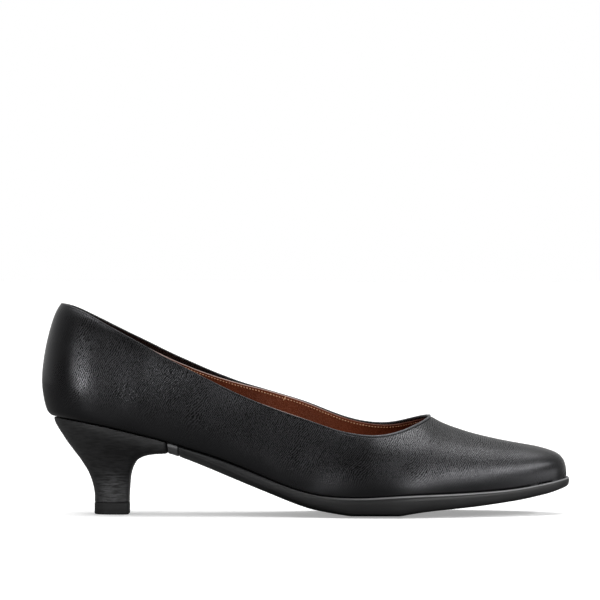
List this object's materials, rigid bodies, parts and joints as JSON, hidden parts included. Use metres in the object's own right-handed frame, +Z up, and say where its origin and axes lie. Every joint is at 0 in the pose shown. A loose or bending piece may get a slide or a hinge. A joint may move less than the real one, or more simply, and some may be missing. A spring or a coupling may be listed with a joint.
{
  "type": "kitten heel pump",
  "caption": "Low-cut slip-on dress shoe with a closed tapered toe, a hollow leather upper, a moulded outsole and a short curved heel.",
  "frame": {"origin": "on the floor under the middle of the shoe's length and width", "axes": "+X along the foot from heel to toe, +Y across it towards the inner side, +Z up; it stands on its top lift and forefoot"},
  "size_m": [0.2559, 0.0801, 0.1025],
  "materials": {
    "black_leather": "fine grained, soft satin",
    "brown_sock": "smooth, dull",
    "black_sole": "moulded, half matt",
    "black_heel": "finely streaked across, half matt",
    "black_lift": "moulded, matt"
  },
  "bodies": {
    "root": {"upper": "black_leather", "insole": "brown_sock", "outsole": "black_sole", "heel": "black_heel", "top_lift": "black_lift"}
  },
  "joints": []
}
